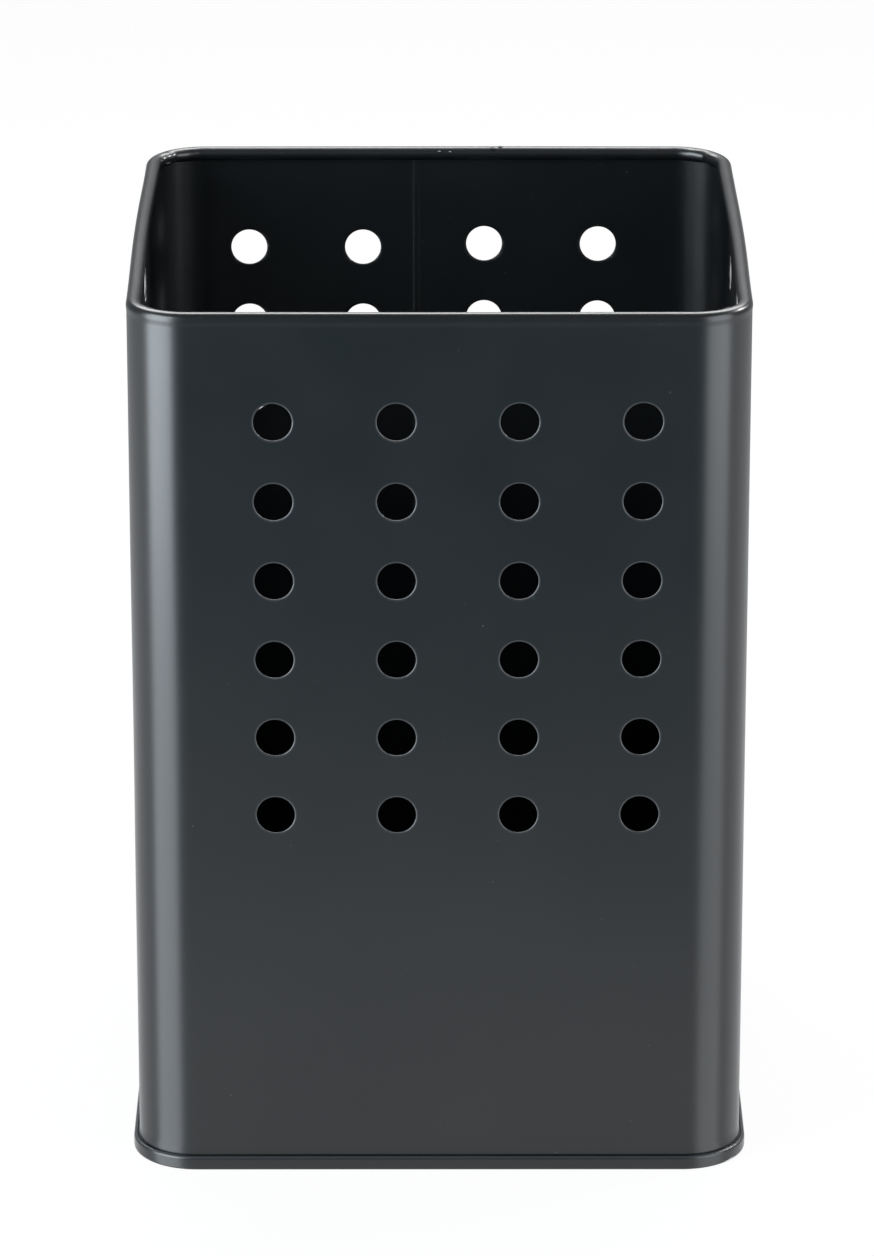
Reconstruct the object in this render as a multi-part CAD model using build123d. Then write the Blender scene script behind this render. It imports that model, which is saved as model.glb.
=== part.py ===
from build123d import *
import math
import os

# Square utensil holder of black lacquered tinplate: a perforated wall with a rolled rim, and a
# recessed base pan folded to it in a double seam. Millimetres and degrees; +Z is up, the front is -Y,
# and the origin is on the floor under the middle.

# Sheet and folds
sheet = 0.3               # thickness of the steel
fold_gap = 0.025          # clearance between folded layers
fold_facet = 55.0         # most that one flat of a tight bend turns
rim_facet = 30.0          # and one flat of the rolled rim

# Wall
body_width = 101.5        # across the flats, outside
height = 150.0            # floor to the top of the rim
corner_radius = 10.0      # outside of the wall
rim_diameter = 2.4        # rolled rim, over its outside
rim_turn = 300.0          # how far the rim is rolled inward

# Double seam at the foot
seam_height = 2.4         # floor to the top of the fold
foot_bend = 0.35          # middle of the sheet, at the two lower corners of the fold
hook_end_gap = 0.1        # left between the end of each hook and the turn that it points into

# Base pan
panel_recess = 4.0        # floor to the underside of the panel's border
panel_bend = 0.8          # middle of the sheet, where the pan turns into its panel
border_width = 5.0        # flat border between that bend and the raised middle
panel_step = 0.7          # rise of the middle of the panel
step_angle = 45.0         # slope of the rise
step_bend = 0.6           # middle of the sheet, at both ends of the rise
plate_lap = 1.0           # flat run between the rise and the plain middle plate

# Punched holes, the same on all four sides as seen from outside
hole_diameter = 6.3       # clear opening
hole_sides = 16           # flats that stand for its round edge
hole_columns = 4
hole_rows = 6
column_pitch = 20.0
row_pitch = 13.6
pattern_shift = 3.0       # middle of the columns, to the right of the middle of the side
first_row_drop = 18.2     # top of the rim to the middle of the first row
punch_reach = 3.0         # how far the punch passes the face of the wall, both ways

# Welded lap where the ends of the wall's blank meet, on the back
weld_place = 3.9          # to the right of the middle of the back, as seen from behind
weld_width = 1.0
weld_swell = 0.06         # how far the lap stands out on each face
weld_to_left_column = 11.9
weld_to_right_column = 9.4
blank_slip = 0.65         # how much higher the rows end at the weld than they began
weld_end_gap = 0.3        # left between the lap and the folds above and below it

# Places of the folded layers, outward from the outer face of the wall
wall_middle = -sheet / 2
hook_bend = sheet + fold_gap
body_hook_middle = wall_middle + 2 * hook_bend
chuck_middle = wall_middle - sheet - fold_gap
outer_fold_middle = body_hook_middle + sheet + fold_gap
hook_bend_outside = hook_bend + sheet / 2
body_turn_height = sheet + fold_gap + hook_bend_outside
base_turn_height = seam_height - hook_bend_outside
overall_width = body_width + 2 * outer_fold_middle + sheet

straight_side = body_width - 2 * corner_radius
rim_bend = (rim_diameter - sheet) / 2


def run(length):
    """A straight stretch of sheet."""
    return length, 0.0, 0.0, 1


def bend(radius, turn, facet=fold_facet):
    """A bend of the sheet's middle line, turning to the left where turn is positive."""
    return 0.0, math.copysign(radius, turn), turn, math.ceil(abs(turn) / facet)


def left_of(way):
    """The unit vector to the left of a heading in radians."""
    return Vector(-math.sin(way), math.cos(way))


def bent_sheet(start, heading, moves):
    """Section of a bent sheet whose middle line leaves start at heading and follows the moves."""
    place, way = Vector(*start), math.radians(heading)
    stops = [(place, way)]
    for length, radius, turn, flats in moves:
        if radius:
            centre = place + left_of(way) * radius
            for _ in range(flats):
                way += math.radians(turn) / flats
                place = centre - left_of(way) * radius
                stops.append((place, way))
        else:
            place = place + Vector(math.cos(way), math.sin(way)) * length
            stops.append((place, way))
    left = [place + left_of(way) * sheet / 2 for place, way in stops]
    right = [place - left_of(way) * sheet / 2 for place, way in stops]
    return make_face(Polyline(*left, *reversed(right), close=True))


def square_ring(section):
    """Carries a section, drawn outward from the wall's outer face, round the rounded square."""
    placed = Pos(body_width / 2, straight_side / 2, 0) * (Plane.XZ * section)
    side = extrude(placed, amount=straight_side, dir=(0, -1, 0))
    corner_axis = Axis((body_width / 2 - corner_radius, straight_side / 2, 0), (0, 0, 1))
    corner = revolve(placed, axis=corner_axis, revolution_arc=90)
    pieces = [Rot(0, 0, 90 * quarter) * piece for quarter in range(4) for piece in (side, corner)]
    return pieces[0].fuse(*pieces[1:])


def wall_section():
    """Body hook, outward turn, wall and inward-rolled rim, from the hook's end."""
    hook_top = base_turn_height - hook_end_gap
    return bent_sheet((body_hook_middle, hook_top), -90, [
        run(hook_top - body_turn_height),
        bend(hook_bend, -180),
        run(height - rim_diameter / 2 - body_turn_height),
        bend(rim_bend, rim_turn, rim_facet),
    ])


def pan_section():
    """Raised panel, border, chuck wall, foot, outer fold and base hook, from the panel outward."""
    slope = math.radians(step_angle)
    bend_drop = 2 * step_bend * (1 - math.cos(slope))
    slope_run = (panel_step - bend_drop) / math.sin(slope)
    step_width = 2 * step_bend * math.sin(slope) + slope_run * math.cos(slope)
    inner_end = chuck_middle - panel_bend - border_width - step_width - plate_lap
    foot_width = outer_fold_middle - chuck_middle - 2 * foot_bend
    section = bent_sheet((inner_end, panel_recess + panel_step + sheet / 2), 0, [
        run(plate_lap),
        bend(step_bend, -step_angle),
        run(slope_run),
        bend(step_bend, step_angle),
        run(border_width),
        bend(panel_bend, -90),
        run(panel_recess - panel_bend - foot_bend),
        bend(foot_bend, 90),
        run(foot_width),
        bend(foot_bend, 90),
        run(base_turn_height - sheet / 2 - foot_bend),
        bend(hook_bend, 180),
        run(base_turn_height - body_turn_height - hook_end_gap),
    ])
    return section, inner_end


def punch(across, up):
    """The tool that makes one hole in the front wall."""
    face = Plane((across, -body_width / 2, up), x_dir=(1, 0, 0), z_dir=(0, -1, 0))
    return extrude(face * RegularPolygon(hole_diameter / 2, hole_sides), amount=punch_reach, both=True)


def column_places(quarter):
    """Places of the columns on a side, to the right of its middle as seen from outside."""
    if quarter == 2:
        left = [weld_place - weld_to_left_column - column_pitch * i for i in range(hole_columns // 2)]
        right = [weld_place + weld_to_right_column + column_pitch * i
                 for i in range(hole_columns - hole_columns // 2)]
        return sorted(left + right)
    middle = (hole_columns - 1) / 2
    return [pattern_shift + column_pitch * (i - middle) for i in range(hole_columns)]


def row_rise(quarter, across):
    """How far the rows have climbed there, on the way round the wall from the weld."""
    round_corner = math.pi / 2 * corner_radius
    one_side = straight_side + round_corner
    way_round = ((quarter - 2) % 4) * one_side + across - weld_place
    return blank_slip * ((way_round / (4 * one_side)) % 1 - 0.5)


def punched_holes():
    """Every hole's tool, on the four sides in turn."""
    tools = []
    for quarter in range(4):
        for across in column_places(quarter):
            for row in range(hole_rows):
                up = height - first_row_drop - row_pitch * row + row_rise(quarter, across)
                tools.append(Rot(0, 0, 90 * quarter) * punch(across, up))
    return tools


def weld_lap():
    """The mashed lap of the blank's two ends, up the back wall, clear of the folds and the pan."""
    high = height - rim_diameter - weld_end_gap
    pieces = []
    for face, low in ((body_width / 2, seam_height), (body_width / 2 - sheet, panel_recess + sheet)):
        length = high - low - weld_end_gap
        swell = Box(weld_width, 2 * weld_swell, length)
        pieces.append(Pos(-weld_place, face, high - length / 2) * swell)
    return pieces


def make_body_wall():
    """The perforated wall: one blank, bent square, welded, rolled at the rim and hooked below."""
    wall = square_ring(wall_section())
    return wall.cut(*punched_holes()).fuse(*weld_lap())


def make_base_pan():
    """The recessed base pan, whose edge wraps the wall's hook."""
    section, inner_end = pan_section()
    plate_width = body_width + 2 * inner_end
    plate = Pos(0, 0, panel_recess + panel_step) * extrude(
        RectangleRounded(plate_width, plate_width, corner_radius + inner_end), sheet)
    return square_ring(section).fuse(plate)


os.makedirs("parts", exist_ok=True)
nodes = {
    "body_wall": make_body_wall(),
    "base_pan": make_base_pan(),
}
for name, piece in nodes.items():
    export_step(piece, f"parts/{name}.step")
print(f"overall {overall_width:.2f} x {overall_width:.2f} x {height:.1f} mm")
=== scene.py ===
"""Dresses a black lacquered utensil holder, a perforated wall with a rolled rim on a seamed base pan.

Sizes are millimetres and degrees unless a name says otherwise; meshes are made in metres. The front
is -Y. "along" runs to the right from the middle of a side as seen from outside, "out" outward from
the outer face of the wall, and "up" from the floor.
"""

import logging
import math
from dataclasses import dataclass
from enum import Enum, IntEnum

import bpy
import numpy as np
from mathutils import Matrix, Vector


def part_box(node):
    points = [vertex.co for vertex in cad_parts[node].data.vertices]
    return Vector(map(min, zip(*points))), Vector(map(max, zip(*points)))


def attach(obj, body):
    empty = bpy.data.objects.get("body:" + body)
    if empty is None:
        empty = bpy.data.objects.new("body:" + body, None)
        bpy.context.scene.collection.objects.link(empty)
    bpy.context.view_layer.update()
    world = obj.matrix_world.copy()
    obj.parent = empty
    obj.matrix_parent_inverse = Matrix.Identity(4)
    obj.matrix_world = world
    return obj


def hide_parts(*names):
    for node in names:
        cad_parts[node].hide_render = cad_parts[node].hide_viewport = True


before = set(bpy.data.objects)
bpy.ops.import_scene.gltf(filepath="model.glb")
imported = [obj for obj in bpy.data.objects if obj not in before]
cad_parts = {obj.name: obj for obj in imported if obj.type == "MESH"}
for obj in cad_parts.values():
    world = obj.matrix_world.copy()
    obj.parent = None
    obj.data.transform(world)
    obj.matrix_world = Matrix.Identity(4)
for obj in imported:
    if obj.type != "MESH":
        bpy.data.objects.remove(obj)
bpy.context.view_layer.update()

LOG = logging.getLogger("utensil_holder")
MM = 0.001
PHOTO_WIDTH, PHOTO_HEIGHT = 874, 1256

Values = np.ndarray | float
Span = tuple[float, float]
Colour = tuple[float, float, float]
Socket = bpy.types.NodeSocket

WHITE: Colour = (1.0, 1.0, 1.0)

# Attribute of a mesh's points that says how rubbed they are
WORN = "worn"

# The colour sockets of a Mix node, whose names it repeats for every kind of value
MIX_SHARE, MIX_FIRST, MIX_SECOND, MIX_RESULT = 0, 6, 7, 2


class Side(IntEnum):
    """The four sides of the holder, counted to the right as seen from outside."""

    FRONT = 0
    RIGHT = 1
    BACK = 2
    LEFT = 3


class Layer(IntEnum):
    """Layers of sheet in the double seam, counted outward from the wall."""

    PAN_INSIDE = -1
    WALL = 0
    PAN_HOOK = 1
    WALL_HOOK = 2
    PAN_FOLD = 3


class Curve(Enum):
    """How a rescaled value runs between its two ends."""

    STRAIGHT = "LINEAR"
    SMOOTH = "SMOOTHSTEP"


class Operation(Enum):
    """What is done with two values."""

    ADD = "ADD"
    MULTIPLY = "MULTIPLY"
    LARGER = "MAXIMUM"


# Numbers and lines

def ease(low: float, high: float, value: Values) -> Values:
    """Rises from 0 at low to 1 at high, with level ends: t squared times (3 - 2t).

    Args:
        low: Where the rise starts; above high where the curve falls instead.
        high: Where it ends.
        value: Values to be eased.

    Returns:
        The eased values, from 0 to 1.
    """
    share = np.clip((value - low) / (high - low), 0, 1)
    return share * share * (3 - 2 * share)


def ladder(stops: list[float], steps: list[int]) -> np.ndarray:
    """Even steps from each stop to the next, with the last stop left out.

    Args:
        stops: Places where the step may change.
        steps: How many steps there are between one stop and the next.

    Returns:
        The values in order.
    """
    spans = zip(stops, stops[1:], steps)
    return np.concatenate([np.linspace(low, high, count, endpoint=False) for low, high, count in spans])


@dataclass(frozen=True)
class Stretch:
    """One stretch of a bent sheet's middle line: straight, or an arc where it has a radius."""

    stops: np.ndarray
    length: float = 0.0
    radius: float = 0.0
    turn: float = 0.0


def straight(length: float, steps: int) -> Stretch:
    """A straight stretch in even steps."""
    return Stretch(np.linspace(0, 1, steps + 1)[1:], length=length)


def arc(radius: float, turn: float, steps: int) -> Stretch:
    """An arc in even steps, which turns to the left where turn, in degrees, is positive."""
    return Stretch(np.linspace(0, 1, steps + 1)[1:], radius=math.copysign(radius, turn), turn=turn)


@dataclass(frozen=True)
class SheetLine:
    """The middle line of a bent sheet in section, and the unit vectors to its right."""

    out: np.ndarray
    up: np.ndarray
    right_out: np.ndarray
    right_up: np.ndarray

    def loop(self, sheet: float) -> np.ndarray:
        """Walks along the right face and back along the left one, half a sheet off the middle line.

        Args:
            sheet: Thickness of the sheet.

        Returns:
            Rows of out, up and the face's own outward direction in section, four numbers a point.
        """
        right = np.stack([self.out, self.up, self.right_out, self.right_up], axis=1)
        left = np.stack([self.out, self.up, -self.right_out, -self.right_up], axis=1)
        both = np.concatenate([right, left[::-1]])
        both[:, :2] += both[:, 2:] * sheet / 2
        return both


def bent_line(start: tuple[float, float], heading: float, stretches: list[Stretch]) -> SheetLine:
    """Follows the stretches from start: places step along the heading, or round an arc's centre.

    Args:
        start: First point, outward and up.
        heading: Direction at the start, in degrees, with 0 outward and 90 up.
        stretches: The stretches in order.

    Returns:
        The line with one point for each stop, and the first point before them.
    """
    place, way = np.array(start, float), math.radians(heading)
    places, ways = [place[None]], [np.array([way])]
    for stretch in stretches:
        turned = way + math.radians(stretch.turn) * stretch.stops
        if stretch.radius:
            centre = place + stretch.radius * np.array([-math.sin(way), math.cos(way)])
            found = centre - stretch.radius * np.stack([-np.sin(turned), np.cos(turned)], axis=1)
        else:
            found = place + np.outer(stretch.stops * stretch.length, [math.cos(way), math.sin(way)])
        places.append(found)
        ways.append(turned)
        place, way = found[-1], float(turned[-1])
    line, headings = np.concatenate(places), np.concatenate(ways)
    return SheetLine(line[:, 0], line[:, 1], np.sin(headings), -np.cos(headings))


@dataclass(frozen=True)
class RoundedSquare:
    """The outer face of the wall in plan."""

    half_width: float
    corner_radius: float = 10.0

    @property
    def flat_half(self) -> float:
        """Half the straight part of a side."""
        return self.half_width - self.corner_radius

    @property
    def side_length(self) -> float:
        """A side's straight part and one corner."""
        return 2 * self.flat_half + self.corner_radius * math.pi / 2

    def way_round(self, side: Values, along: Values, turn: Values) -> Values:
        """How far a place is round the outline from the left end of the front."""
        return side * self.side_length + self.flat_half + along + self.corner_radius * turn

    def place(self, side: Values, along: Values, turn: Values, out: Values, up: Values,
              shrink: Values = 1.0) -> np.ndarray:
        """Carries section points round the outline.

        On a straight part a point lies at (along, -half width - out). On a corner it swings about the
        corner's centre by turn, at the corner radius plus out. Each side is the front turned by 90
        degrees more, and shrink draws the ring in towards the middle.

        Args:
            side: Number of the side.
            along: Place on the side.
            turn: Angle round the corner at its right end, in radians.
            out: Distance outward from the wall's outer face.
            up: Height.
            shrink: Share of the distance from the axis that is kept.

        Returns:
            Points in metres, with x, y and z on the last axis.
        """
        reach = self.corner_radius + out
        x = (along + reach * np.sin(turn)) * shrink
        y = (-self.flat_half - reach * np.cos(turn)) * shrink
        quarter = side * math.pi / 2
        points = [x * np.cos(quarter) - y * np.sin(quarter), x * np.sin(quarter) + y * np.cos(quarter)]
        return np.stack(np.broadcast_arrays(*points, up), axis=-1) * MM


@dataclass(frozen=True)
class Stations:
    """Places round the outline at which a section stands: side, along and turn of each."""

    side: np.ndarray
    along: np.ndarray
    turn: np.ndarray

    @property
    def columns(self) -> tuple[np.ndarray, np.ndarray, np.ndarray]:
        """Side, along and turn with one station a row, so that section points can run across."""
        return self.side[:, None], self.along[:, None], self.turn[:, None]

    @staticmethod
    def round_outline(outline: RoundedSquare, sides: list[np.ndarray], corner_steps: int) -> "Stations":
        """Puts the given lines on each side in turn, and even steps round each corner.

        Args:
            outline: The outline that they stand on.
            sides: For each side, places along it, without its right end.
            corner_steps: Steps round one corner.

        Returns:
            The stations in order, once round.
        """
        turns = np.linspace(0, math.pi / 2, corner_steps, endpoint=False)
        ends = np.full(corner_steps, outline.flat_half)
        side = np.repeat(np.arange(len(sides)), [len(lines) + corner_steps for lines in sides])
        along = np.concatenate([np.append(lines, ends) for lines in sides])
        turn = np.concatenate([np.append(np.zeros(len(lines)), turns) for lines in sides])
        return Stations(side, along, turn)


def number_points(points: np.ndarray, first: int = 0) -> np.ndarray:
    """Numbers an array of points in order, from first, in the array's own shape."""
    return first + np.arange(points[..., 0].size).reshape(points.shape[:-1])


def ring_quads(rows: np.ndarray) -> np.ndarray:
    """Joins each row of point numbers to the next, closed along the row.

    A quad is (row, point), (row, next point), (next row, next point), (next row, point).

    Args:
        rows: Point numbers, with rows and points on the last two axes.

    Returns:
        Quads, four point numbers each.
    """
    after = np.roll(rows, -1, axis=-1)
    corners = [rows[..., :-1, :], after[..., :-1, :], after[..., 1:, :], rows[..., 1:, :]]
    return np.stack(corners, axis=-1).reshape(-1, 4)


def make_piece(name: str, points: np.ndarray, faces: list[np.ndarray], worn: np.ndarray,
               finish: bpy.types.Material) -> bpy.types.Object:
    """Makes a smooth mesh object at the origin, without the points that no face uses.

    Args:
        name: Name of the piece.
        points: Points in metres, one row each.
        faces: Arrays of point numbers, each array's faces with as many corners as it has columns.
        worn: For each point, how much its edge is rubbed, from 0 to 1.
        finish: Its material.

    Returns:
        The object, linked to the scene.
    """
    used, numbers = np.unique(np.concatenate([part.ravel() for part in faces]), return_inverse=True)
    sizes = np.concatenate([np.full(len(part), part.shape[1]) for part in faces])
    mesh = bpy.data.meshes.new(name)
    mesh.vertices.add(len(used))
    mesh.vertices.foreach_set("co", points[used].astype(np.float32).ravel())
    mesh.loops.add(len(numbers))
    mesh.loops.foreach_set("vertex_index", numbers.ravel().astype(np.int32))
    mesh.polygons.add(len(sizes))
    mesh.polygons.foreach_set("loop_start", (np.cumsum(sizes) - sizes).astype(np.int32))
    mesh.update(calc_edges=True)
    mesh.shade_smooth()
    layer = mesh.attributes.new(WORN, "FLOAT", "POINT")
    layer.data.foreach_set("value", worn[used].astype(np.float32))
    mesh.validate()
    mesh.materials.append(finish)
    piece = bpy.data.objects.new(name, mesh)
    bpy.context.scene.collection.objects.link(piece)
    return piece


# Finishes

class Nodes:
    """The node tree of a material or a world, under construction."""

    def __init__(self, owner: bpy.types.Material | bpy.types.World) -> None:
        """Starts with an empty tree.

        Args:
            owner: What the tree belongs to.
        """
        owner.use_nodes = True
        self.tree = owner.node_tree
        self.tree.nodes.clear()

    def feed(self, target: Socket, value: Socket | Colour | float) -> None:
        """Links an output to an input, or sets a number or an opaque colour on it.

        Args:
            target: The input.
            value: The output, number or colour.
        """
        if isinstance(value, Socket):
            self.tree.links.new(value, target)
        else:
            target.default_value = (*value, 1) if isinstance(value, tuple) else value

    def add(self, kind: str, **settings: object) -> bpy.types.Node:
        """Adds a node with its settings.

        Args:
            kind: Node type without its Shader Node prefix.
            settings: Properties by name; a name with a capital letter is an input socket.

        Returns:
            The node.
        """
        node = self.tree.nodes.new("ShaderNode" + kind)
        for name, value in settings.items():
            if name[0].isupper():
                self.feed(node.inputs[name.replace("_", " ")], value)
            else:
                setattr(node, name, value)
        return node

    def shader(self, kind: str, **settings: object) -> Socket:
        """Adds a shader node, and gives its output."""
        return self.add(kind, **settings).outputs[0]

    def noise(self, where: Socket, per_metre: float, detail: float) -> Socket:
        """Cloudy values of the given fineness and detail."""
        return self.add("TexNoise", Vector=where, Scale=per_metre, Detail=detail).outputs["Fac"]

    def remap(self, value: Socket, given: Span, wanted: Span, curve: Curve = Curve.STRAIGHT) -> Socket:
        """Rescales a value from the given span to the wanted one, and holds it at both ends."""
        return self.add("MapRange", Value=value, From_Min=given[0], From_Max=given[1], To_Min=wanted[0],
                        To_Max=wanted[1], interpolation_type=curve.value).outputs["Result"]

    def math(self, operation: Operation, first: Socket | float, second: Socket | float) -> Socket:
        """Adds, multiplies or compares two values.

        Args:
            operation: What is done with them.
            first: One value.
            second: The other.

        Returns:
            The result.
        """
        node = self.add("Math", operation=operation.value)
        self.feed(node.inputs[0], first)
        self.feed(node.inputs[1], second)
        return node.outputs[0]

    def blend(self, share: Socket, first: Socket | Colour, second: Colour) -> Socket:
        """Blends two colours.

        Args:
            share: Share of the second.
            first: The colour where the share is 0.
            second: The colour where it is 1.

        Returns:
            The blended colour.
        """
        node = self.add("Mix", data_type="RGBA")
        for number, value in ((MIX_SHARE, share), (MIX_FIRST, first), (MIX_SECOND, second)):
            self.feed(node.inputs[number], value)
        return node.outputs[MIX_RESULT]

    def mix(self, share: Socket | float, first: Socket, second: Socket) -> Socket:
        """Mixes two shaders.

        Args:
            share: Share of the second.
            first: The shader where the share is 0.
            second: The shader where it is 1.

        Returns:
            The mixed shader.
        """
        node = self.add("MixShader", Fac=share)
        self.feed(node.inputs[1], first)
        self.feed(node.inputs[2], second)
        return node.outputs[0]


@dataclass(frozen=True)
class BlackLacquer:
    """Baked black lacquer on tinplate: smooth and half gloss, with a fine orange peel."""

    name: str
    deep: Colour = (0.0016, 0.0024, 0.0032)
    cloudy: Colour = (0.0026, 0.0033, 0.0040)
    rubbed: Colour = (0.030, 0.034, 0.038)
    dust: Colour = (0.034, 0.035, 0.036)
    ior: float = 1.50
    smoothest: float = 0.277
    roughest: float = 0.306
    rubbed_roughness: float = 0.36
    peel_per_metre: float = 420.0
    peel_depth: float = 0.0012
    flow_per_metre: float = 85.0
    flow_depth: float = 0.012
    cloud_per_metre: float = 32.0
    cloud_span: Span = (0.25, 0.75)
    drift_per_metre: float = 73.6
    drift_span: Span = (0.22, 0.78)
    dust_per_metre: float = 210.0
    dust_span: Span = (0.023, 0.0368)
    dust_cover: float = 0.8

    def material(self) -> bpy.types.Material:
        """Builds the node material: clouded near-black, roughness that drifts, peel and flow as bump.

        Returns:
            The material.
        """
        material = bpy.data.materials.new(self.name)
        nodes = Nodes(material)
        where = nodes.add("TexCoord").outputs["Object"]
        worn = nodes.add("Attribute", attribute_name=WORN).outputs["Fac"]

        clouds = nodes.noise(where, self.cloud_per_metre, detail=3.0)
        clouds = nodes.remap(clouds, self.cloud_span, (0, 1), Curve.SMOOTH)
        colour = nodes.blend(worn, nodes.blend(clouds, self.deep, self.cloudy), self.rubbed)
        grains = nodes.add("TexVoronoi", Vector=where, Scale=self.dust_per_metre).outputs["Distance"]
        specks = nodes.remap(grains, self.dust_span, (self.dust_cover, 0))
        colour = nodes.blend(specks, colour, self.dust)

        drift = nodes.noise(where, self.drift_per_metre, detail=2.0)
        plain = nodes.remap(drift, self.drift_span, (self.smoothest, self.roughest), Curve.SMOOTH)
        rub = nodes.math(Operation.MULTIPLY, worn, self.rubbed_roughness - self.smoothest)
        roughness = nodes.math(Operation.ADD, plain, rub)

        peel = nodes.noise(where, self.peel_per_metre, detail=0.0)
        flow = nodes.noise(where, self.flow_per_metre, detail=1.0)
        relief = nodes.math(Operation.ADD, nodes.math(Operation.MULTIPLY, peel, self.peel_depth),
                            nodes.math(Operation.MULTIPLY, flow, self.flow_depth))
        bump = nodes.add("Bump", Height=relief, Strength=1.0, Distance=MM).outputs["Normal"]

        surface = nodes.shader("BsdfPrincipled", Base_Color=colour, Roughness=roughness, Normal=bump,
                               IOR=self.ior)
        nodes.add("OutputMaterial", Surface=surface)
        return material


# Pieces of the holder

@dataclass(frozen=True)
class DoubleSeam:
    """The layers that the wall and the pan fold into at the foot."""

    sheet: float = 0.3
    gap: float = 0.025
    height: float = 2.4
    foot_bend: float = 0.35
    hook_end_gap: float = 0.1

    @property
    def pitch(self) -> float:
        """From one layer to the next."""
        return self.sheet + self.gap

    @property
    def projection(self) -> float:
        """How far the seam stands out from the wall's outer face."""
        return Layer.PAN_FOLD * self.pitch

    def middle(self, layer: Layer) -> float:
        """Middle of a layer, outward from the wall's outer face."""
        return layer * self.pitch - self.sheet / 2

    @property
    def wall_turn_height(self) -> float:
        """Centre of the turn at the bottom of the wall."""
        return 2 * self.pitch + self.sheet / 2

    @property
    def pan_turn_height(self) -> float:
        """Centre of the turn at the top of the pan's fold."""
        return self.height - self.pitch - self.sheet / 2


@dataclass(frozen=True)
class PunchedHole:
    """One size of round hole, drawn in at its outer edge by the punch.

    The shares say how far the rings on either face lie towards the edge of the hole's cell.
    """

    diameter: float = 6.3
    lip_width: float = 0.27
    lip_depth: float = 0.13
    inner_break: float = 0.04
    outer_shares: tuple[float, ...] = (0.55, 0.25, 0.08, 0.015, 0.0)
    lip_angles: tuple[float, ...] = (30.0, 60.0, 90.0)
    inner_shares: tuple[float, ...] = (0.0, 0.12, 0.5)

    def rings(self, sheet: float) -> np.ndarray:
        """Rings from the cell's edge in to the hole, through it and out again on the inner face.

        Over the lip the radius shrinks as 1 - sine and the depth grows as 1 - cosine of an angle that
        goes from 0 to 90 degrees.

        Args:
            sheet: Thickness of the sheet.

        Returns:
            Rows of share of the way to the cell's edge, radius of the hole there, and depth.
        """
        radius, lip = self.diameter / 2, np.radians(self.lip_angles)
        outside = [(share, radius + self.lip_width, 0.0) for share in self.outer_shares]
        bend = np.stack([0 * lip, radius + self.lip_width * (1 - np.sin(lip)),
                         self.lip_depth * (1 - np.cos(lip))], axis=1)
        through = [(0.0, radius, sheet - self.inner_break)]
        inside = [(share, radius + self.inner_break, sheet) for share in self.inner_shares]
        return np.concatenate([outside, bend, through, inside])


@dataclass(frozen=True)
class LacquerNibs:
    """Beads of lacquer on the roll of the back, near the weld: squat balls half sunk in it."""

    # Place along the back, angle round the roll and half length of each
    places: tuple[float, ...] = (-0.1, -2.0, -9.4, -10.8)
    curls: tuple[float, ...] = (150.0, 152.0, 116.0, 84.0)
    sizes: tuple[float, ...] = (0.36, 0.32, 0.52, 0.54)

    # Depth and height as shares of the length, and how far the centres are sunk below the surface
    depth_share: float = 0.8
    height_share: float = 0.5
    sink: float = 0.05

    # Steps of the mesh, and the angle from a pole to its nearest ring
    rings: int = 9
    ring_points: int = 12
    pole_radians: float = 0.05

    def points(self, outline: RoundedSquare, radius: float, top: float) -> np.ndarray:
        """Sets the balls on the roll.

        A ball's point lies at (sin a cos b, sin a sin b, cos a) times its half sizes, with a from pole
        to pole and b round it. No point stands above the top of the roll.

        Args:
            outline: The outline of the wall.
            radius: Radius of the roll.
            top: Height of its top.

        Returns:
            Points in metres, by ball, ring and point.
        """
        down = np.linspace(self.pole_radians, math.pi - self.pole_radians, self.rings)[:, None]
        around = np.arange(self.ring_points) * 2 * math.pi / self.ring_points
        values = (self.places, np.radians(self.curls), self.sizes)
        place, curl, size = (np.array(value)[:, None, None] for value in values)
        along = place + size * np.sin(down) * np.cos(around)
        out = -radius + radius * np.cos(curl) + size * self.depth_share * np.sin(down) * np.sin(around)
        middle = top - radius + (radius - self.sink) * np.sin(curl)
        up = middle + size * self.height_share * np.cos(down)
        return outline.place(Side.BACK, along, 0, out, np.minimum(up, top))

    def faces(self, numbers: np.ndarray) -> list[np.ndarray]:
        """The quads between the rings, and the small faces at the poles, from the points' numbers."""
        return [ring_quads(numbers), np.concatenate([numbers[:, 0, ::-1], numbers[:, -1]])]


@dataclass(frozen=True)
class WallSection:
    """The wall in section, from its hook up the outer face and back down the inner one.

    Attributes:
        loop: Out, up and the face's own outward direction, four numbers a point.
        curl: Angle round the roll for each point, in degrees, 0 off the roll.
        outer: 1 for a point of the outer face, -1 for one of the inner face.
        lines: Heights of the points of the upright wall, without the last.
        first: Number of the lowest of them on the outer face.
    """

    loop: np.ndarray
    curl: np.ndarray
    outer: np.ndarray
    lines: np.ndarray
    first: int


@dataclass(frozen=True)
class HoleCells:
    """The squares of the wall's grid that hold a hole, with one value a hole in each array.

    Attributes:
        side: Side of the holder.
        station: First station of the cell.
        line: Lowest line of the cell.
        along: Middle of the hole along the side.
        up: Height of that middle.
    """

    side: np.ndarray
    station: np.ndarray
    line: np.ndarray
    along: np.ndarray
    up: np.ndarray


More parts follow.
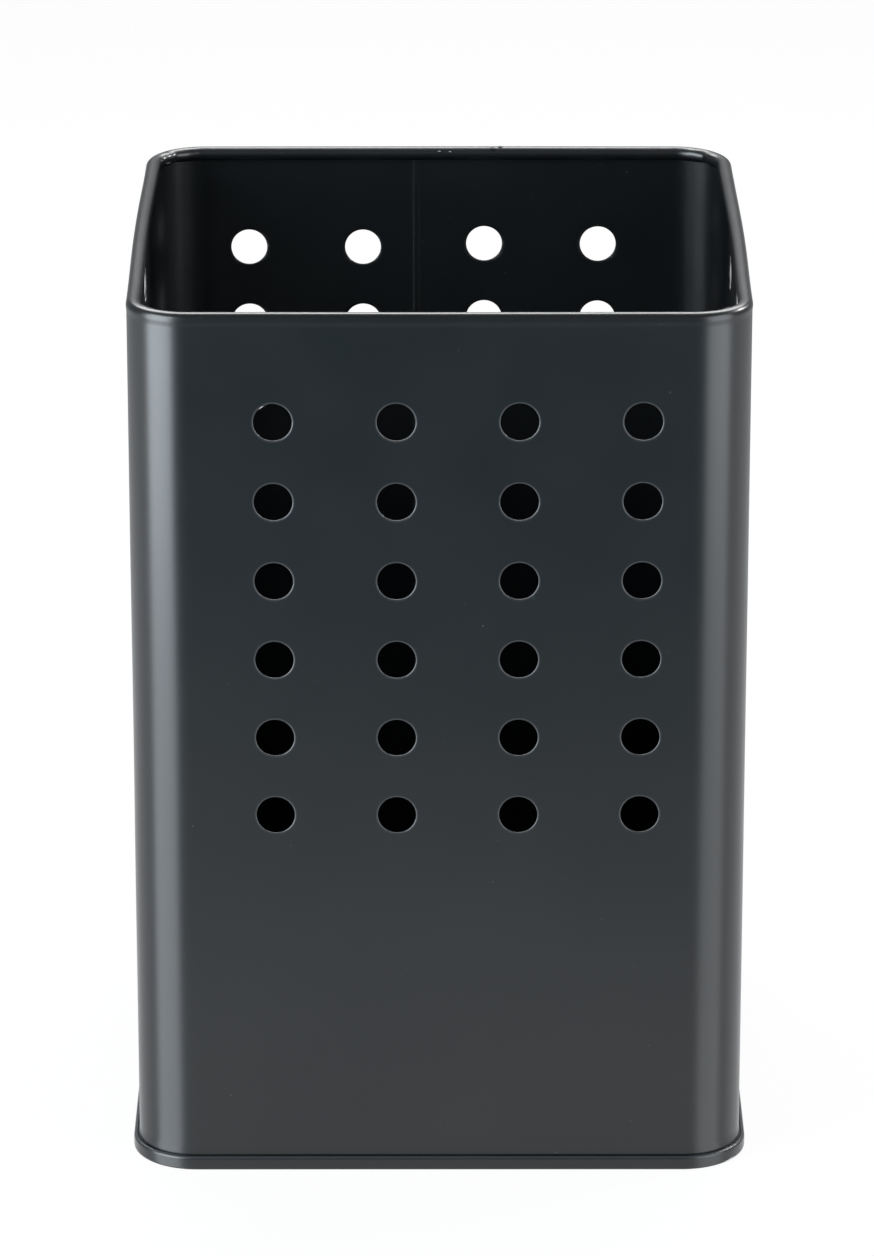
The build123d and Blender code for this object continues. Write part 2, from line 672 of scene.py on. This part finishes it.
@dataclass
class BodyWall:
    """The perforated wall: one bent blank, rolled inward at the rim and hooked into the seam."""

    outline: RoundedSquare
    height: float
    seam: DoubleSeam
    lacquer: bpy.types.Material
    hole: PunchedHole = PunchedHole()
    nibs: LacquerNibs = LacquerNibs()
    rim_diameter: float = 2.4
    rim_turn: float = 300.0

    # Pattern of holes
    columns: int = 4
    rows: int = 6
    column_pitch: float = 20.0
    row_pitch: float = 13.6
    pattern_shift: float = 3.0
    first_row_drop: float = 18.2

    # Weld, with half its width and half its level top as shares of the width, its ends from the rim and
    # from the floor, and how much higher the rows end at it than they began
    weld_place: float = 3.9
    weld_width: float = 1.0
    weld_swell: float = 0.06
    weld_to_left_column: float = 11.9
    weld_to_right_column: float = 9.4
    weld_margin: float = 2.0
    weld_outer_share: float = 0.55
    weld_flat_share: float = 0.38
    weld_top: Span = (1.9, 2.9)
    weld_foot: Span = (2.6, 3.4)
    blank_slip: float = 0.65

    # Bow of each side, with the shares of the height over which it grows and falls to the rim's share
    bows: tuple[float, ...] = (0.25, 0.75, 0.35, 0.75)
    bow_rise: Span = (0.02, 0.55)
    bow_fall: Span = (0.6, 1.0)
    rim_share: float = 0.45

    # Unevenness: a sum of waves, whose size is about wave_sum, from wave_rise of the height up
    buckle: float = 0.022
    waves: int = 14
    wave_seed: int = 11
    wave_counts: tuple[int, int] = (3, 15)
    wave_climb: float = 3.0
    wave_weights: Span = (0.5, 1.0)
    wave_sum: float = 3.0
    wave_rise: Span = (0.03, 0.2)

    # Flares to the seam, which starts below the fold's top and fades above it, and to the roll
    flare: float = 0.09
    flare_start: Span = (1.9, 2.35)
    flare_fade: Span = (4.2, 2.4)
    corner_flare: float = 0.6
    neck: float = 0.08
    neck_height: float = 1.1

    # Creases of the roll at its corners, between two spans of its curl. Each wave has a weight, a count
    # to the corner, a shift from side to side and the curl over which it leans by one wave
    pucker: float = 0.12
    pucker_power: float = 0.7
    pucker_start: Span = (100.0, 135.0)
    pucker_end: Span = (290.0, 230.0)
    pucker_waves: tuple[tuple[float, ...], ...] = ((1.0, 2.6, 0.37, math.inf), (0.5, 4.3, 0.21, 500.0))

    # Rubbed crown of the roll, between two spans of its curl, and rubbed lips of the holes
    crown_rub: float = 0.35
    crown_start: Span = (60.0, 85.0)
    crown_end: Span = (150.0, 110.0)
    lip_rub: float = 0.3

    # Steps of the mesh, with the heights below the holes where the step changes, and where the neck's
    # own steps begin below the roll, in neck heights
    cell_steps: int = 10
    corner_steps: int = 24
    margin_steps: int = 3
    weld_steps: int = 2
    hook_steps: int = 2
    turn_steps: int = 8
    foot_stops: tuple[float, ...] = (1.9, 4.4, 8.0)
    foot_steps: tuple[int, ...] = (1, 9, 2, 7)
    neck_steps: int = 6
    neck_margin: float = 1.2
    curl_steps: int = 26

    @property
    def roll_height(self) -> float:
        """Height of the roll's middle, where the upright wall ends."""
        return self.height - self.rim_diameter / 2

    def column_places(self, side: int) -> list[float]:
        """Places of the columns along a side; on the back they are measured from the weld.

        Args:
            side: Number of the side.

        Returns:
            One place for each column, from left to right.
        """
        if side == Side.BACK:
            pitches = [self.column_pitch * i for i in range(self.columns // 2)]
            left = [self.weld_place - self.weld_to_left_column - pitch for pitch in pitches]
            right = [self.weld_place + self.weld_to_right_column + pitch for pitch in pitches]
            return sorted(left + right)
        middle = (self.columns - 1) / 2
        return [self.pattern_shift + self.column_pitch * (i - middle) for i in range(self.columns)]

    def side_lines(self, side: int) -> tuple[np.ndarray, list[int]]:
        """Lines across a side: a margin, then a cell for each column, and on the back the weld's strip.

        Args:
            side: Number of the side.

        Returns:
            Places of the lines, and the number of the first line of each column's cell.
        """
        places = self.column_places(side)
        flat, outer = self.weld_width * self.weld_flat_share, self.weld_width * self.weld_outer_share
        strip = [self.weld_place + aside
                 for aside in (-self.weld_margin, -outer, -flat, flat, outer, self.weld_margin)]
        stops, steps = [-self.outline.flat_half, places[0] - self.column_pitch / 2], [self.margin_steps]
        starts = []
        for place, next_place in zip(places, places[1:] + [math.inf]):
            starts.append(sum(steps))
            steps.append(self.cell_steps)
            if side == Side.BACK and place < self.weld_place < next_place:
                stops += strip
                steps += [self.weld_steps] * (len(strip) - 1)
            else:
                stops.append(min((place + next_place) / 2, self.outline.flat_half))
        return ladder(stops, steps), starts

    def row_rise(self, side: np.ndarray, along: np.ndarray) -> np.ndarray:
        """How far the rows have climbed there, in proportion to the way round from the weld.

        Args:
            side: Number of the side.
            along: Place on the side.

        Returns:
            Heights, from minus half the slip at one side of the weld to plus half at the other.
        """
        whole = len(Side) * self.outline.side_length
        way = ((side - Side.BACK) % len(Side)) * self.outline.side_length + along - self.weld_place
        return self.blank_slip * ((way / whole) % 1 - 0.5)

    def swell(self, side: Values, along: Values, turn: Values, up: Values) -> Values:
        """How far the sheet stands out from its true plane.

        A panel bows by (1 - t squared) squared, with t from -1 to 1 along it, fully at mid-height, not
        at all at the seam and by a share at the rim. The foot flares a little to the seam, and more at
        the corners, and the last of the wall flares to the roll. A sum of long sine waves round the
        wall and up it, each with its own phase, is the sheet's own unevenness.

        Args:
            side: Number of the side.
            along: Place on the side.
            turn: Angle round the corner, in radians.
            up: Height.

        Returns:
            Distances outward.
        """
        level = np.clip(up / self.height, 0, 1)
        belly = ease(*self.bow_rise, level) * (1 - (1 - self.rim_share) * ease(*self.bow_fall, level))
        across = np.clip(along / self.outline.flat_half, -1, 1)
        bow = np.asarray(self.bows)[side] * (1 - across ** 2) ** 2 * belly

        draw = np.random.default_rng(self.wave_seed)
        shape = (self.waves,) + (1,) * np.ndim(up)
        count = draw.integers(*self.wave_counts, shape)
        climb = draw.uniform(-self.wave_climb, self.wave_climb, shape)
        phase = draw.uniform(0, 2 * math.pi, shape)
        weight = draw.uniform(*self.wave_weights, shape)
        way = self.outline.way_round(side, along, turn) / (len(Side) * self.outline.side_length)
        ripple = (weight * np.sin(2 * math.pi * (count * way + climb * level) + phase)).sum(axis=0)
        uneven = self.buckle * ripple / self.wave_sum * ease(*self.wave_rise, level)

        corner = 1 + self.corner_flare * np.sin(2 * turn)
        foot = self.flare * corner * ease(*self.flare_fade, up) * ease(*self.flare_start, up)
        neck = self.neck * ease(self.roll_height - self.neck_height, self.roll_height, up)
        return bow + foot + neck + uneven

    def pucker_of(self, stations: Stations, curl: np.ndarray) -> np.ndarray:
        """Creases where the rolled rim is squeezed round the corners.

        They are a weighted sum of sine waves round the corner, of which the later lean as they go round
        the roll. The sum is 0 at both ends of the corner, by a power of the sine of the way along it,
        and is eased in and out over the inner half of the roll.

        Args:
            stations: Where the sections stand.
            curl: Angle round the roll for each point of the section, in degrees, 0 off the roll.

        Returns:
            Distance outward from the roll's surface, one row for each station.
        """
        side, _, turn = stations.columns
        share = turn / (math.pi / 2)
        corner = np.sin(math.pi * share) ** self.pucker_power
        waves = sum(weight * np.sin(2 * math.pi * (count * share + shift * side + curl / lean))
                    for weight, count, shift, lean in self.pucker_waves)
        inner = ease(*self.pucker_start, curl) * ease(*self.pucker_end, curl)
        return self.pucker * corner * waves * inner

    def weld_relief(self, stations: Stations, up: np.ndarray) -> np.ndarray:
        """Height of the welded lap over the sheet: full on its middle, eased to nothing at its edges.

        Args:
            stations: Where the sections stand.
            up: Height of each point of the section.

        Returns:
            Distance out from either face, one row for each station.
        """
        side, along, _ = stations.columns
        strip = ease(self.weld_width * self.weld_outer_share, self.weld_width * self.weld_flat_share,
                     np.abs(along - self.weld_place))
        top_start, top_end = self.weld_top
        ends = ease(self.height - top_start, self.height - top_end, up) * ease(*self.weld_foot, up)
        return self.weld_swell * strip * ends * (side == Side.BACK)

    def section(self) -> WallSection:
        """Follows the sheet from the end of its hook round the turn, up the wall and into the roll.

        The upright wall has lines of its own, so that every row of holes has its row of cells.

        Returns:
            The section.
        """
        seam, half_pitch = self.seam, self.row_pitch / 2
        foot, top = seam.wall_turn_height, self.roll_height
        first_row = self.height - self.first_row_drop
        lowest = first_row - self.row_pitch * (self.rows - 1) - half_pitch
        neck_foot = top - self.neck_margin * self.neck_height
        lines = ladder([foot, *self.foot_stops, lowest, first_row + half_pitch, neck_foot, top],
                       [*self.foot_steps, self.rows * self.cell_steps, 1, self.neck_steps])
        hook_top = seam.pan_turn_height - seam.hook_end_gap
        path = bent_line((seam.middle(Layer.WALL_HOOK), hook_top), -90, [
            straight(hook_top - foot, self.hook_steps),
            arc(seam.pitch, -180, self.turn_steps),
            Stretch((np.append(lines[1:], top) - foot) / (top - foot), length=top - foot),
            arc((self.rim_diameter - seam.sheet) / 2, self.rim_turn, self.curl_steps),
        ])
        first = self.hook_steps + self.turn_steps
        curl, outer = np.zeros(len(path.out)), np.ones(len(path.out))
        curl[first + len(lines):] = np.linspace(0, self.rim_turn, self.curl_steps + 1)
        return WallSection(path.loop(seam.sheet), np.append(curl, curl[::-1]), np.append(outer, -outer),
                           lines, first)

    def cells(self, sides: list[tuple[np.ndarray, list[int]]]) -> HoleCells:
        """Finds the cell of every hole, side by side, column by column and from the top row down.

        Args:
            sides: For each side, its lines and the first line of each column's cell.

        Returns:
            The cells.
        """
        firsts = np.cumsum([0] + [len(lines) + self.corner_steps for lines, _ in sides])
        holes = [(side, firsts[side] + start, along, row)
                 for side, (_, starts) in enumerate(sides)
                 for start, along in zip(starts, self.column_places(side))
                 for row in range(self.rows)]
        side, station, along, row = (np.array(values) for values in zip(*holes))
        line = sum(self.foot_steps) + (self.rows - 1 - row) * self.cell_steps
        up = self.height - self.first_row_drop - self.row_pitch * row + self.row_rise(side, along)
        return HoleCells(side, station, line, along, up)

    def cell_edge(self) -> tuple[np.ndarray, np.ndarray]:
        """Walks round a cell from its lower right corner, counter-clockwise as seen from outside.

        Returns:
            Steps to the right and up from the cell's lower left corner, for each point of the walk.
        """
        size, walk = self.cell_steps, np.arange(self.cell_steps)
        full, none = np.full(size, size), np.zeros(size, int)
        right = np.concatenate([full, size - walk, none, walk])
        return right, np.concatenate([walk, full, size - walk, none])

    def sheet_points(self, stations: Stations, section: WallSection) -> np.ndarray:
        """Carries the section round the outline, with the sheet's swell, the weld and the creases.

        The roll swells as the top of the upright wall does, so it goes along with it unbent.

        Args:
            stations: Where the section stands.
            section: The section.

        Returns:
            Points in metres, one row for each station.
        """
        out, up, face_out, face_up = section.loop.T
        roll = self.pucker_of(stations, section.curl) * section.outer
        relief = self.weld_relief(stations, up)
        sheet_up = np.where(section.curl > 0, self.roll_height, up)[None]
        sheet_out = out + self.swell(*stations.columns, sheet_up)
        return self.outline.place(*stations.columns, sheet_out + (roll + relief) * face_out,
                                  up + roll * face_up)

    def hole_points(self, cells: HoleCells, stations: Stations, lines: np.ndarray) -> np.ndarray:
        """Rings round every hole: each blends from the hole's circle to its cell's edge by a share.

        The circle starts at 45 degrees below the right, across from the cell's lower right corner.

        Args:
            cells: The holes' cells.
            stations: All stations.
            lines: Heights of the wall's lines.

        Returns:
            Points in metres, by hole, ring and point.
        """
        edge_station, edge_line = self.cell_edge()
        edge_along = stations.along[cells.station[:, None] + edge_station][:, None]
        edge_up = lines[cells.line[:, None] + edge_line][:, None]
        angle = math.radians(-45) + 2 * math.pi * np.arange(len(edge_line)) / len(edge_line)
        share, radius, depth = (column[:, None] for column in self.hole.rings(self.seam.sheet).T)
        circle_along = cells.along[:, None, None] + radius * np.cos(angle)
        circle_up = cells.up[:, None, None] + radius * np.sin(angle)
        along = circle_along + share * (edge_along - circle_along)
        up = circle_up + share * (edge_up - circle_up)
        side = cells.side[:, None, None]
        return self.outline.place(side, along, 0, self.swell(side, along, 0, up) - depth, up)

    def sheet_faces(self, numbers: np.ndarray, ring_numbers: np.ndarray, section: WallSection,
                    cells: HoleCells) -> list[np.ndarray]:
        """Joins the sheet's points, leaves out the cells of the holes and fills those with their rings.

        A quad is (station, point), (next station, point), (next station, next point), (station, next
        point). A line's point on the inner face is as far from the loop's end as the outer one is from
        its start, so a cell is open on both faces, and the rings go from one to the other.

        Args:
            numbers: Numbers of the sheet's points, by station and point.
            ring_numbers: Numbers of the rings' points, by hole, ring and point.
            section: The section.
            cells: The holes' cells.

        Returns:
            The quads of the sheet, and those of the holes.
        """
        last, line = len(section.loop) - 1, section.first + cells.line
        steps = np.arange(self.cell_steps)
        station, point = cells.station[:, None, None] + steps[:, None], line[:, None, None] + steps
        keep = np.ones(numbers.shape, bool)
        keep[station, point] = False
        keep[station, last - 1 - point] = False
        next_station, next_point = np.roll(numbers, -1, axis=0), np.roll(numbers, -1, axis=1)
        both = np.roll(next_station, -1, axis=1)
        sheet = np.stack([numbers, next_station, both, next_point], axis=-1)[keep]

        edge_station, edge_line = self.cell_edge()
        station, point = cells.station[:, None] + edge_station, line[:, None] + edge_line
        outer, inner = numbers[station, point][:, None], numbers[station, last - point][:, None]
        return [sheet, ring_quads(np.concatenate([outer, ring_numbers, inner], axis=1))]

    def wear(self, stations: Stations, section: WallSection, holes: int) -> np.ndarray:
        """How rubbed the points are: the crown of the roll outside, and the lips of the holes.

        Args:
            stations: Where the section stands.
            section: The section.
            holes: How many holes there are.

        Returns:
            A share for each point of the sheet, and then for each point of the rings.
        """
        crown = ease(*self.crown_start, section.curl) * ease(*self.crown_end, section.curl)
        sheet = np.tile(self.crown_rub * crown * (section.outer > 0), len(stations.side))
        share, _, depth = self.hole.rings(self.seam.sheet).T
        lip = np.where((share == 0) & (depth < self.seam.sheet / 2), self.lip_rub, 0)
        return np.append(sheet, np.tile(np.repeat(lip, 4 * self.cell_steps), holes))

    def build(self) -> bpy.types.Object:
        """Makes the sheet with its open holes, and the beads on its roll.

        Returns:
            The finished piece.
        """
        sides = [self.side_lines(side) for side in Side]
        lines = [places for places, _ in sides]
        stations = Stations.round_outline(self.outline, lines, self.corner_steps)
        section, cells = self.section(), self.cells(sides)
        sheet = self.sheet_points(stations, section)
        numbers = number_points(sheet)
        rings = self.hole_points(cells, stations, section.lines)
        ring_numbers = number_points(rings, numbers.size)
        nibs = self.nibs.points(self.outline, self.rim_diameter / 2, self.height)
        nib_numbers = number_points(nibs, numbers.size + ring_numbers.size)

        points = np.concatenate([part.reshape(-1, 3) for part in (sheet, rings, nibs)])
        faces = self.sheet_faces(numbers, ring_numbers, section, cells) + self.nibs.faces(nib_numbers)
        worn = np.append(self.wear(stations, section, len(cells.side)), np.zeros(nib_numbers.size))
        return make_piece("body_wall_shell", points, faces, worn, self.lacquer)


@dataclass
class BasePan:
    """The recessed base: raised panel, border, foot ring and the fold round the wall's hook."""

    outline: RoundedSquare
    seam: DoubleSeam
    lacquer: bpy.types.Material
    panel_recess: float = 4.0
    panel_bend: float = 0.8
    border_width: float = 5.0
    panel_step: float = 0.7
    step_angle: float = 45.0
    step_bend: float = 0.6
    plate_lap: float = 1.0
    crown: float = 0.15

    # Lacquer in the notch: radius of its open side, and its hidden points, outward from the wall's
    # face and downward from the foot of the open side
    bead_radius: float = 0.2
    bead_steps: int = 8
    bead_hidden: tuple[tuple[float, float], ...] = ((-0.02, 0.2), (0.03, 0.24), (0.12, 0.12))

    # Rubbed shoulder of the fold: its depth below the top, and where it starts outward
    shoulder_rub: float = 0.6
    shoulder_depth: float = 0.35
    shoulder_start: Span = (0.2, 0.5)

    # Steps of the mesh
    side_steps: int = 24
    corner_steps: int = 24
    panel_steps: int = 10

    def section(self) -> np.ndarray:
        """Follows the sheet from the panel over its step, border and foot to the end of its hook.

        Returns:
            Rows of out, up and outward direction, on the lower and outer face and back on the other.
        """
        seam, slope = self.seam, math.radians(self.step_angle)
        bend_drop = 2 * self.step_bend * (1 - math.cos(slope))
        slope_run = (self.panel_step - bend_drop) / math.sin(slope)
        step_width = 2 * self.step_bend * math.sin(slope) + slope_run * math.cos(slope)
        inside, outside = seam.middle(Layer.PAN_INSIDE), seam.middle(Layer.PAN_FOLD)
        start = inside - self.panel_bend - self.border_width - step_width - self.plate_lap
        return bent_line((start, self.panel_recess + self.panel_step + seam.sheet / 2), 0, [
            straight(self.plate_lap, steps=2),
            arc(self.step_bend, -self.step_angle, steps=4),
            straight(slope_run, steps=1),
            arc(self.step_bend, self.step_angle, steps=4),
            straight(self.border_width, steps=4),
            arc(self.panel_bend, -90, steps=7),
            straight(self.panel_recess - self.panel_bend - seam.foot_bend, steps=3),
            arc(seam.foot_bend, 90, steps=6),
            straight(outside - inside - 2 * seam.foot_bend, steps=2),
            arc(seam.foot_bend, 90, steps=6),
            straight(seam.pan_turn_height - seam.sheet / 2 - seam.foot_bend, steps=4),
            arc(seam.pitch, 180, steps=12),
            straight(seam.pan_turn_height - seam.wall_turn_height - seam.hook_end_gap, steps=2),
        ]).loop(seam.sheet)

    def bead_section(self) -> tuple[np.ndarray, np.ndarray]:
        """Section of the lacquer that has run into the notch between the wall and the fold.

        Its open side is an arc that touches the wall and the round top of the fold. The centres of the
        arc and of that top are apart by the sum of their radii, which gives the height of the arc.

        Returns:
            Out and up of the points, counter-clockwise.
        """
        seam, radius = self.seam, self.bead_radius
        top_radius = seam.pitch + seam.sheet / 2
        across = seam.projection - top_radius - radius
        rise = math.sqrt((top_radius + radius) ** 2 - across ** 2)
        middle = seam.pan_turn_height + rise
        turn = np.linspace(-math.atan2(rise, across), -math.pi, self.bead_steps + 1)
        hidden_out, hidden_down = np.transpose(self.bead_hidden)
        out = [hidden_out[:1], hidden_out, radius + radius * np.cos(turn)]
        up = [[middle], middle - radius - hidden_down, middle + radius * np.sin(turn)]
        return np.concatenate(out), np.concatenate(up)

    def build(self) -> bpy.types.Object:
        """Carries the section round the outline, draws its panel in to the middle and adds the bead.

        Above and below, the panel's rings shrink in even steps to a pole, and it is crowned: it stands
        higher by 1 - r squared, with r from 0 at the middle to 1 at the edge of the plate.

        Returns:
            The finished piece.
        """
        loop = self.section()
        drawn_in = np.linspace(0, 1, self.panel_steps, endpoint=False)[1:]
        shrink = np.concatenate([drawn_in, np.ones(len(loop)), drawn_in[::-1]])
        out, flat_up = np.pad(loop[:, :2], ((len(drawn_in), len(drawn_in)), (0, 0)), "edge").T
        up = flat_up + self.crown * (1 - shrink ** 2)

        half = self.outline.flat_half
        lines = np.linspace(-half, half, self.side_steps, endpoint=False)
        stations = Stations.round_outline(self.outline, [lines] * len(Side), self.corner_steps)
        sheet = self.outline.place(*stations.columns, out, up, shrink)
        poles = np.array([(0, 0, (end[1] + self.crown) * MM) for end in (loop[0], loop[-1])])
        bead = self.outline.place(*stations.columns, *self.bead_section())

        numbers = number_points(sheet)
        first, last = numbers[:, 0], numbers[:, -1]
        below, above = (np.full(len(first), numbers.size + pole) for pole in range(len(poles)))
        fans = [np.stack([below, np.roll(first, -1), first], axis=1),
                np.stack([above, last, np.roll(last, -1)], axis=1)]
        bead_rows = number_points(bead, numbers.size + len(poles)).T
        bead_faces = ring_quads(np.append(bead_rows, bead_rows[:1], axis=0))

        seam_top = self.seam.height
        shoulder = ease(seam_top - self.shoulder_depth, seam_top, up) * ease(*self.shoulder_start, out)
        worn = np.tile(self.shoulder_rub * shoulder, len(first))
        points = np.concatenate([sheet.reshape(-1, 3), poles, bead.reshape(-1, 3)])
        worn = np.append(worn, np.zeros(len(points) - len(worn)))
        return make_piece("base_pan_shell", points, [ring_quads(numbers.T), *fans, bead_faces], worn,
                          self.lacquer)


# Studio

@dataclass(frozen=True)
class SoftBox:
    """A flat light on a stand, unseen by the camera.

    Its azimuth is 0 in front and grows to the right, and its distance is from the holder's axis. The
    heights are that of its middle and the one on the axis that it faces. Radiance is how bright it
    looks.
    """

    name: str
    azimuth: float
    distance: float
    middle: float
    faces: float
    width: float
    height: float
    radiance: float
    colour: Colour = WHITE

    def build(self) -> None:
        """Stands the light at its azimuth, with the power that gives its radiance over its area."""
        light = bpy.data.lights.new(self.name, "AREA")
        light.shape, light.size, light.size_y = "RECTANGLE", self.width * MM, self.height * MM
        light.energy = self.radiance * math.pi * light.size * light.size_y
        light.color = self.colour
        stand = bpy.data.objects.new(self.name, light)
        bpy.context.scene.collection.objects.link(stand)
        angle = math.radians(self.azimuth)
        stand.location = (math.sin(angle) * self.distance * MM, -math.cos(angle) * self.distance * MM,
                          self.middle * MM)
        towards = Vector((0, 0, self.faces * MM)) - stand.location
        stand.rotation_euler = towards.to_track_quat("-Z", "Y").to_euler()
        stand.visible_camera = False


@dataclass
class Studio:
    """A pale glossy floor in a white room, with its lights.

    An upright soft box stands on either side of the front, a wide one hangs above the back, and a small
    lamp stands at the right rear.
    """

    lights: tuple[SoftBox, ...] = (
        SoftBox("softbox_left", azimuth=-54, distance=420, middle=240, faces=240, width=330, height=480,
                radiance=11.5, colour=(0.86, 0.94, 1.0)),
        SoftBox("softbox_right", azimuth=52, distance=440, middle=230, faces=230, width=320, height=460,
                radiance=4.8, colour=(0.92, 0.965, 1.0)),
        SoftBox("softbox_above", azimuth=180, distance=460, middle=710, faces=150, width=900,
                height=390, radiance=11.0),
        SoftBox("lamp_right", azimuth=112, distance=530, middle=430, faces=150, width=110, height=110,
                radiance=58.0),
    )
    floor_half: float = 3000.0
    floor_gap: float = 0.02
    white: float = 0.975
    floor_colour: Colour = (0.82, 0.82, 0.82)
    shadow_share: float = 0.04
    gloss: Colour = (0.36, 0.36, 0.36)
    gloss_roughness: float = 0.15

    # Painted pool of light on the floor, in reflections only: its glow near the holder, and the dimmer
    # glows it fades to over the two spans
    painted_glow_near: Colour = (0.95, 0.97, 1.0)
    painted_glow_front: Colour = (0.08, 0.20, 0.25)
    front_glow_fade: Span = (-120.0, -370.0)
    painted_glow_back: Colour = (0.33, 0.355, 0.365)
    back_glow_fade: Span = (120.0, 480.0)

    # Light of the room, and in reflections its front and back, which blend over a span of directions
    room_light: float = 0.35
    room_front: float = 0.24
    room_back: float = 0.31
    room_blend: Span = (-0.2, 0.7)

    def build(self) -> None:
        """Lays the floor, paints the room and stands the lights."""
        self.floor()
        self.room()
        for light in self.lights:
            light.build()

    def floor(self) -> None:
        """Lays a flat floor just under the holder's foot."""
        half = self.floor_half * MM
        mesh = bpy.data.meshes.new("floor")
        mesh.from_pydata([(-half, -half, 0), (half, -half, 0), (half, half, 0), (-half, half, 0)], [],
                         [(0, 1, 2, 3)])
        floor = bpy.data.objects.new("floor", mesh)
        floor.location.z = -self.floor_gap * MM
        bpy.context.scene.collection.objects.link(floor)
        mesh.materials.append(self.floor_material())

    def floor_material(self) -> bpy.types.Material:
        """White to the camera but for the shadow's share; in reflections a gloss over a painted pool of
        light that glows near the holder.

        Returns:
            The material.
        """
        material = bpy.data.materials.new("pale_floor")
        nodes = Nodes(material)
        matt = nodes.shader("BsdfDiffuse", Color=self.floor_colour)
        white = nodes.shader("Emission", Color=WHITE, Strength=self.white)
        seen = nodes.mix(1 - self.shadow_share, matt, white)

        where = nodes.add("SeparateXYZ", Vector=nodes.add("TexCoord").outputs["Object"]).outputs["Y"]
        # The painted pool of light: a glow that fades from bright near the holder to dimmer glows ahead
        # of it and behind it
        ahead, behind = (nodes.remap(where, (start * MM, end * MM), (0, 1))
                         for start, end in (self.front_glow_fade, self.back_glow_fade))
        front = nodes.blend(ahead, self.painted_glow_near, self.painted_glow_front)
        pool = nodes.shader("Emission", Color=nodes.blend(behind, front, self.painted_glow_back), Strength=1.0)
        gloss = nodes.shader("BsdfGlossy", Color=self.gloss, Roughness=self.gloss_roughness)
        mirrored = nodes.add("AddShader")
        nodes.feed(mirrored.inputs[0], pool)
        nodes.feed(mirrored.inputs[1], gloss)

        path = nodes.add("LightPath")
        reflected = nodes.mix(path.outputs["Is Glossy Ray"], matt, mirrored.outputs[0])
        nodes.add("OutputMaterial", Surface=nodes.mix(path.outputs["Is Camera Ray"], reflected, seen))
        return material

    def room(self) -> None:
        """Paints the room: white to the camera, graded in reflections, a soft grey light otherwise."""
        world = bpy.data.worlds.new("white_room")
        nodes = Nodes(world)
        white = nodes.shader("Background", Color=WHITE, Strength=self.white)
        soft = nodes.shader("Background", Color=WHITE, Strength=self.room_light)
        way = nodes.add("SeparateXYZ", Vector=nodes.add("TexCoord").outputs["Generated"]).outputs["Y"]
        graded = nodes.remap(way, self.room_blend, (self.room_front, self.room_back))
        mirrored = nodes.shader("Background", Color=WHITE, Strength=graded)

        path = nodes.add("LightPath")
        glossy = nodes.math(Operation.LARGER, path.outputs["Is Glossy Ray"],
                            path.outputs["Is Transmission Ray"])
        reflected = nodes.mix(glossy, soft, mirrored)
        nodes.add("OutputWorld", Surface=nodes.mix(path.outputs["Is Camera Ray"], reflected, white))
        bpy.context.scene.world = world


@dataclass(frozen=True)
class PhotoCamera:
    """The camera in front of the holder, above it and pitched down; its lens in pixels of the photo."""

    focal_pixels: float = 6588.0
    sideways: float = -1.64
    in_front: float = 1063.75
    height: float = 459.0
    pitch_down: float = 19.69
    yaw_right: float = 0.07
    sensor: float = 36.0
    clip: Span = (10.0, 20000.0)

    def build(self) -> None:
        """Places the camera and makes it the scene's."""
        data = bpy.data.cameras.new("photo_camera")
        data.sensor_width = self.sensor
        data.lens = self.focal_pixels * self.sensor / max(PHOTO_WIDTH, PHOTO_HEIGHT)
        data.clip_start, data.clip_end = (end * MM for end in self.clip)
        camera = bpy.data.objects.new("photo_camera", data)
        bpy.context.scene.collection.objects.link(camera)
        camera.location = (self.sideways * MM, -self.in_front * MM, self.height * MM)
        camera.rotation_euler = (math.radians(90 - self.pitch_down), 0, -math.radians(self.yaw_right))
        bpy.context.scene.camera = camera


def main() -> None:
    """Builds the two pieces, the studio and the camera, and reports each piece."""
    logging.basicConfig(level=logging.INFO, format="%(name)s: %(message)s")
    seam = DoubleSeam()
    half_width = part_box("base_pan")[1].x / MM - seam.projection
    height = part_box("body_wall")[1].z / MM
    outline = RoundedSquare(half_width)

    wall = BodyWall(outline, height, seam, BlackLacquer("wall_black_lacquer").material()).build()
    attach(wall, "root")
    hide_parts("body_wall")

    pan = BasePan(outline, seam, BlackLacquer("pan_black_lacquer").material()).build()
    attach(pan, "root")
    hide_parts("base_pan")

    Studio().build()
    PhotoCamera().build()
    bpy.context.scene.view_settings.view_transform = "Standard"

    for piece in (wall, pan):
        triangles = sum(len(face.vertices) - 2 for face in piece.data.polygons)
        LOG.info("%s: %d triangles", piece.name, triangles)


if __name__ == "__main__":
    main()
